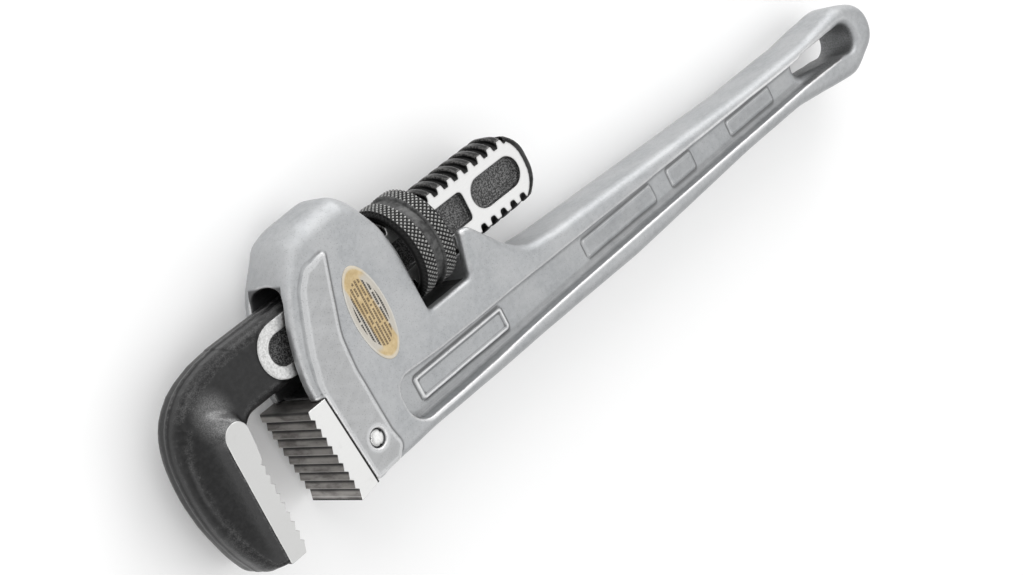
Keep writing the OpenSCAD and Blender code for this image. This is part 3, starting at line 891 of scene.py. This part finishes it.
def castAluminium():
    f = Finish("castAluminium")
    grain = f.noise(3.1, 3, 0.6)
    pores = f.cells(1.15)
    pits = 1 - pores.fade(0.10, 0.26)
    patch = f.noise(0.06, 3, 0.5)
    cloud = f.noise(0.45, 5, 0.62)
    speck = f.noise(1.7, 3, 0.7)
    # crest: convex edges, brightened below as edge wear and as a painted highlight
    crest = f.bend().fade(0.25, 0.95)
    # deep: concave creases and fillets, darkened below as painted shade
    deep = (0 - f.bend()).fade(0.12, 0.6)
    # painted shade on the inner wall of the eye and inside the housing
    eye = (f.x > 292.0) * (f.x < 333.0) * (f.y > -29.5) * (f.y < -13.2) * (1 - abs(f.nz).fade(0.3, 0.8))
    inside = (abs(f.z) < 9.9) * (f.y > 3.0) * (f.x < 88.7) * (1 - f.y.fade(42.5, 43.5))
    tone = cloud.fade(0.3, 0.7).blend(rgb(0.38, 0.39, 0.40), rgb(0.455, 0.465, 0.475))
    tone = (patch.fade(0.35, 0.7) * 0.5).blend(tone, rgb(0.52, 0.525, 0.53))
    # the raised pads are cleaner than the cheeks
    lift = (abs(f.z) > 14.5) * (f.x < 40.0)
    tone = (lift * 0.7).blend(tone, rgb(0.64, 0.645, 0.65))
    tone = (speck.fade(0.52, 0.72) * 0.30).blend(tone, rgb(0.33, 0.33, 0.335))
    # painted shade in the concave creases
    tone = (deep * 0.7).blend(tone, rgb(0.16, 0.16, 0.16))
    # edge wear and painted highlight on the convex edges
    tone = (crest * (0.4 + cloud * 0.6)).least(1.0).blend(tone, rgb(0.84, 0.84, 0.84))
    tone = (pits * 0.4).blend(tone, rgb(0.18, 0.18, 0.18))
    # painted shade: the eye's inner wall and the housing's inside darkened
    tone = (eye * (0.35 + speck.fade(0.3, 0.7) * 0.45)).blend(tone, rgb(0.15, 0.15, 0.15))
    tone = (inside * 0.85).blend(tone, rgb(0.055, 0.055, 0.056))
    rough = 0.46 + cloud * 0.14 - crest * 0.10 + deep * 0.12
    height = grain * 0.55 + cloud * 0.5 + speck * 0.5 - pits * 0.5
    return f.finish(
        Base_Color=tone, Metallic=0.9, Roughness=rough, Normal=f.bump(height, 0.6, 0.10),
    )


def blackForging():
    f = Finish("blackForging")
    side, across = abs(f.z), abs(f.y - wrench["shankY"])
    scale = f.noise(0.5, 6, 0.65)
    grain = f.noise(2.4, 4, 0.6)
    crest = f.bend().fade(0.2, 0.9)
    # ground lands of the shank, the thread behind them and the sunk panels
    land = (side > 8.74) * (side < 9.2) * (f.x > -3.4) * (abs(f.nz) > 0.8) * (across < 12.6)
    panel = (side > 5.9) * (side < 8.3) * (across < 6.6) * (f.x > 1.0) * (f.x < 137.0)
    thread = (f.x > 44.5) * (1 - land) * (across > 7.0)
    lines = f.noise(1.0, 3, 0.7, (0.25, 7.0, 1.0))
    coarse = f.noise(1.3, 3, 0.6)
    worn = crest * scale.fade(0.48, 0.66) * (1 - thread)
    paint = scale.fade(0.3, 0.75).blend(rgb(0.003, 0.003, 0.0033), rgb(0.014, 0.014, 0.0144))
    steel = lines.blend(rgb(0.56, 0.56, 0.555), rgb(0.76, 0.76, 0.755))
    steel = (coarse.fade(0.35, 0.7) * (1 - f.x.fade(12.0, 40.0)) * 0.6).blend(steel, rgb(0.30, 0.30, 0.295))
    # painted highlight: pale speckles on the convex edges, in the look of chipped paint
    edgeSheen = f.bend().fade(0.04, 0.24) * grain.fade(0.38, 0.66) * scale.fade(0.25, 0.65) * (1 - thread)
    # painted highlight on the shoulder beside the throat: a pale speckled patch in the look of rubbed-thin
    # paint
    near = ((f.x + 29.0) * (f.x + 29.0) + (f.y - 20.0) * (f.y - 20.0) * 0.7).maths("POWER", 0.5)
    shoulderSheen = (1 - near.fade(2.0, 10.5)) * (0.35 + grain.fade(0.35, 0.7) * 0.65) * (side > 4.0)
    tone = (worn * 0.22).blend(paint, rgb(0.30, 0.29, 0.28))
    tone = (edgeSheen * 0.14).blend(tone, rgb(0.42, 0.42, 0.42))
    tone = (shoulderSheen * 0.55).blend(tone, rgb(0.36, 0.36, 0.36))
    tone = thread.blend(tone, scale.blend(rgb(0.003, 0.003, 0.003), rgb(0.012, 0.012, 0.012)))
    # thread crest edges brightened: wear, also a painted highlight
    tone = (thread * crest * coarse.fade(0.35, 0.6) * 0.22).blend(tone, rgb(0.38, 0.37, 0.36))
    sand = f.noise(1.8, 3, 0.6)
    tone = panel.blend(tone, sand.fade(0.42, 0.62).blend(rgb(0.02, 0.02, 0.02), rgb(0.17, 0.17, 0.17)))
    tone = land.blend(tone, steel)
    rough = 0.18 + scale * 0.20 + grain * 0.10
    rough = land.blend(rough, 0.30 + lines * 0.12)
    metal = (land * 0.95).most(thread * 0.65).most(panel * 0.4)
    metal = metal.most(worn * 0.3).most(edgeSheen * 0.5).most(shoulderSheen * 0.7).most(0.3)
    height = scale * 0.8 * (1 - land) + grain * 0.4 + panel * sand * 2.0 + land * lines * 0.15
    return f.finish(
        Base_Color=tone, Metallic=metal, Roughness=rough, Normal=f.bump(height, 0.7, 0.13),
        Specular_IOR_Level=0.5,
    )


def groundSteel(name, pale, lean):
    f = Finish(name)
    flat = (abs(f.nz) > 0.6) * 1.0
    lines = f.noise(1.0, 4, 0.7, (0.35, 9.0, 1.0))
    cross = f.noise(1.0, 4, 0.7, (7.0, 7.0, 0.25))
    cloud = f.noise(0.35, 4, 0.6)
    oil = f.noise(0.22, 4, 0.6, (1.0, 1.0, 0.35))
    # where along one tooth: 0 and 1 at the crest, the root near 0.3
    step = ((lean - f.y) / heel["toothPitch"]).maths("FRACT", 0.0)
    tipWearAndHighlight = (1 - step.fade(0.0, 0.09)).most(step.fade(0.90, 1.0))
    rootShade = step.fade(0.10, 0.26) * (1 - step.fade(0.34, 0.62))
    ground = lines.blend(rgb(pale * 0.88, pale * 0.88, pale * 0.87), rgb(pale, pale, pale * 0.99))
    ground = (cloud.fade(0.55, 0.8) * 0.2).blend(ground, rgb(0.45, 0.44, 0.42))
    teeth = oil.fade(0.35, 0.65).blend(rgb(0.19, 0.178, 0.17), rgb(0.46, 0.44, 0.42))
    teeth = (cross.fade(0.45, 0.7) * 0.35).blend(teeth, rgb(0.56, 0.54, 0.52))
    # painted shade at the tooth roots
    teeth = (rootShade * 0.92).blend(teeth, rgb(0.006, 0.006, 0.006))
    # tooth tips brightened: wear, also a painted highlight
    teeth = (tipWearAndHighlight * (0.45 + cross * 0.5)).least(1.0).blend(teeth, rgb(0.66, 0.65, 0.63))
    # painted shade along the heel jaw's edge where it meets its seat
    down = (heelTop - f.y) / (heelTop - heelFoot)
    seamShade = f.x - wrench["seatX"] - down * (footX - wrench["seatX"])
    ground = seamShade.fade(-1.30, -0.90).blend(ground, rgb(0.01, 0.01, 0.01))
    tone = flat.blend(teeth, ground)
    rough = flat.blend(0.42 + cross * 0.2, 0.34 + lines * 0.14)
    height = flat * lines * 0.5 + (1 - flat) * (cross * 1.1 + oil * 0.6)
    return f.finish(
        # the painted shade at the tooth roots also takes the metal out there
        Base_Color=tone, Metallic=0.85 - (1 - flat) * rootShade * 0.6, Roughness=rough,
        Normal=f.bump(height, 0.5, 0.08),
    )


def nutSteel():
    f = Finish("nutSteel")
    out = f.place.add("ShaderNodeVectorMath", {"operation": "SUBTRACT"},
                      {0: f.place, 1: (0.0, wrench["shankY"], 0.0)})
    out = out.add("ShaderNodeVectorMath", {"operation": "MULTIPLY"}, {0: out, 1: (0.0, 1.0, 1.0)})
    radius = out.add("ShaderNodeVectorMath", {"operation": "LENGTH"}, {0: out}, 1)
    rimRadius = wrench["nutRadius"]
    across = abs(f.x - wrench["nutX"])
    band = (across > nut["band"] + 0.6) * 1.0
    crest = radius.fade(rimRadius - 0.20, rimRadius - 0.01) * band
    low = (1 - radius.fade(rimRadius - 0.55, rimRadius - 0.16)) * band
    end = abs(f.nx).fade(0.6, 0.9) * (across > nut["length"] / 2 - 1.9)
    cloud = f.noise(0.5, 5, 0.6)
    grain = f.noise(3.0, 3, 0.6)
    tone = cloud.fade(0.3, 0.7).blend(rgb(0.055, 0.055, 0.055), rgb(0.13, 0.13, 0.129))
    # painted shade in the knurl valleys
    tone = (low * 0.9).blend(tone, rgb(0.012, 0.012, 0.012))
    # knurl tips brightened: wear, also a painted highlight
    tone = (crest * (0.45 + cloud * 0.6)).least(1.0).blend(tone, rgb(0.42, 0.42, 0.41))
    tone = (end * 0.95).blend(tone, rgb(0.008, 0.008, 0.008))
    rough = 0.42 + cloud * 0.14 - crest * 0.12
    return f.finish(
        Base_Color=tone, Metallic=0.9, Roughness=rough,
        Normal=f.bump(grain * 0.5 + cloud * 0.6, 0.4, 0.06),
    )


def brightSteel(name, tone0, tone1, roughness):
    f = Finish(name)
    cloud = f.noise(0.9, 5, 0.6)
    fine = f.noise(5.0, 3, 0.6)
    marks = f.cells(0.8).fade(0.05, 0.2)
    tone = cloud.fade(0.3, 0.7).blend(rgb(*tone0), rgb(*tone1))
    tone = ((1 - marks) * 0.4).blend(tone, rgb(*(v * 0.5 for v in tone0)))
    return f.finish(
        Base_Color=tone, Metallic=0.95, Roughness=roughness + cloud * 0.15,
        Normal=f.bump(fine * 0.5 + marks * 0.6, 0.4, 0.05),
    )


def labelFoil():
    f = Finish("labelFoil")
    u, v = (f.x - label["x"]) / label["wide"], (f.y - label["y"]) / label["long"]
    reach = (u * u + v * v).maths("POWER", 0.5)
    border = reach.fade(0.90, 0.96)
    # short printed dashes in columns along the oval
    column = (f.x - label["x"]) / 1.5 + 20.5
    lane = column.maths("FRACT", 0.0)
    which = column.maths("FLOOR", 0.0)
    row = f.y * 1.15 + which * 3.7
    grit = f.flow.add("ShaderNodeCombineXYZ", inputs={0: row.maths("FLOOR", 0.0), 1: which})
    chance = f.flow.add("ShaderNodeTexWhiteNoise", {"noise_dimensions": "2D"}, {"Vector": grit}, 0)
    inner = (u * u * 1.35 + v * v * 1.6) < 0.80
    ink = (lane > 0.20) * (lane < 0.78) * (chance > 0.10) * inner * (row.maths("FRACT", 0.0) > 0.12)
    cloud = f.noise(0.4, 4, 0.6)
    scuff = f.noise(1.0, 4, 0.7, (0.5, 6.0, 1.0)).fade(0.62, 0.72)
    # the print is gold down the middle and bare foil beside it
    silver = abs(u + v * 0.25).fade(0.40, 0.52) * (1 - abs(v).fade(0.62, 0.78))
    gold = cloud.fade(0.3, 0.7).blend(rgb(0.46, 0.34, 0.17), rgb(0.60, 0.47, 0.27))
    tone = (silver * 0.75).blend(gold, rgb(0.50, 0.50, 0.49))
    tone = (ink * 0.9).blend(tone, silver.blend(rgb(0.13, 0.09, 0.05), rgb(0.01, 0.01, 0.01)))
    tone = (border * 0.6).blend(tone, rgb(0.62, 0.61, 0.57))
    tone = (scuff * 0.2).blend(tone, rgb(0.80, 0.77, 0.68))
    return f.finish(
        Base_Color=tone, Metallic=0.4, Roughness=0.38 + cloud * 0.15,
        Normal=f.bump(cloud * 0.6 + ink * 0.4, 0.3, 0.04),
    )


def floorPaint():
    f = Finish("paleFloor")
    cloud = f.noise(0.004, 3, 0.5)
    tone = cloud.blend(rgb(0.90, 0.90, 0.90), rgb(0.93, 0.93, 0.93))
    return f.finish(Base_Color=tone, Roughness=0.85, Emission_Color=(1, 1, 1, 1), Emission_Strength=0.07)


def dress(thing, material):
    thing.data.materials.clear()
    thing.data.materials.append(material)


casting = buildHandle()
print("handle built")
forging, hookTeeth = buildHook()
print("hook jaw built")
heelJaw = buildHeel()
heelPin = buildPin()
adjustingNut = buildNut()
leafSpring, coilSpring, springRivet = buildSprings()
labelFront = buildLabel("labelFront", 1, "label_front")
labelBack = buildLabel("labelBack", -1, "label_back")
print("small pieces built")

dress(casting, castAluminium())
dress(forging, blackForging())
dress(hookTeeth, groundSteel("hookGround", 0.60, -1.0))
dress(heelJaw, groundSteel("heelGround", 0.74, 0.0))
dress(heelPin, brightSteel("pinSteel", (0.60, 0.60, 0.59), (0.75, 0.75, 0.74), 0.22))
dress(adjustingNut, nutSteel())
springBlue = brightSteel("springSteel", (0.10, 0.10, 0.11), (0.17, 0.17, 0.18), 0.32)
for thing in (leafSpring, coilSpring, springRivet):
    dress(thing, springBlue)
foil = labelFoil()
dress(labelFront, foil)
dress(labelBack, foil)
print("finishes set")


studio = {
    "worldTop": 1.0,
    "worldSide": 0.74,
    "worldStrength": 0.86,
    "lens": 2337.66 * 36 / 1024,
    "cameraAt": (-395.57, 241.19, 670.01),
    "right": (0.6268066, -0.43809796, 0.64434747),
    "down": (-0.52134172, -0.85038618, -0.07103624),
    "forward": (0.57906502, -0.29139924, -0.76142642),
}
# name, how far to the right, up and towards the camera (m), size (m), power (W)
lamps = [
    ("keySoft", (-0.25, 0.75, 0.95), 0.85, 3.2),
    ("topSoft", (0.25, 1.00, 0.06), 0.62, 3.8),
    ("leftFill", (-0.90, 0.30, 0.40), 0.40, 1.6),
    ("rightSoft", (1.10, 0.15, 0.25), 0.90, 1.5),
    ("lowFront", (-0.10, -0.60, 0.85), 0.35, 1.1),
]

bpy.ops.mesh.primitive_plane_add(size=8)
floor = bpy.context.object
floor.name = "paleFloorSheet"
dress(floor, floorPaint())

right, down, forward = (Vector(studio[k]) for k in ("right", "down", "forward"))
offset = Vector(shift)
camera = bpy.data.cameras.new("studioCamera")
camera.lens = studio["lens"]
camera.sensor_width = 36
camera.clip_start, camera.clip_end = 0.01, 30
viewer = bpy.data.objects.new("studioCamera", camera)
bpy.context.scene.collection.objects.link(viewer)
turn = Matrix((right, -down, -forward)).transposed().to_4x4()
viewer.matrix_world = Matrix.Translation((Vector(studio["cameraAt"]) + offset) / 1000) @ turn
bpy.context.scene.camera = viewer

target = (Vector((110, 5, 0)) + offset) / 1000
for name, (toRight, up, near), size, power in lamps:
    lamp = bpy.data.lights.new(name, "AREA")
    lamp.shape = "SQUARE"
    lamp.size = size
    lamp.energy = power
    holder = bpy.data.objects.new(name, lamp)
    bpy.context.scene.collection.objects.link(holder)
    holder.location = target + right * toRight - down * up - forward * near
    holder.rotation_euler = (target - holder.location).to_track_quat("-Z", "Y").to_euler()

world = bpy.data.worlds.new("studioWorld")
world.use_nodes = True
bpy.context.scene.world = world
bpy.context.scene.view_settings.view_transform = "Standard"
sky = Flow(world.node_tree)
where = sky.add("ShaderNodeTexCoord", output=0)
split = where.add("ShaderNodeSeparateXYZ", inputs={0: where}, output=2)
shade = split.fade(-0.1, 0.9).blend(
    rgb(*[studio["worldSide"]] * 3), rgb(*[studio["worldTop"]] * 3)
)
back = world.node_tree.nodes["Background"]
world.node_tree.links.new(shade.socket, back.inputs["Color"])
back.inputs["Strength"].default_value = studio["worldStrength"]
print("studio set")
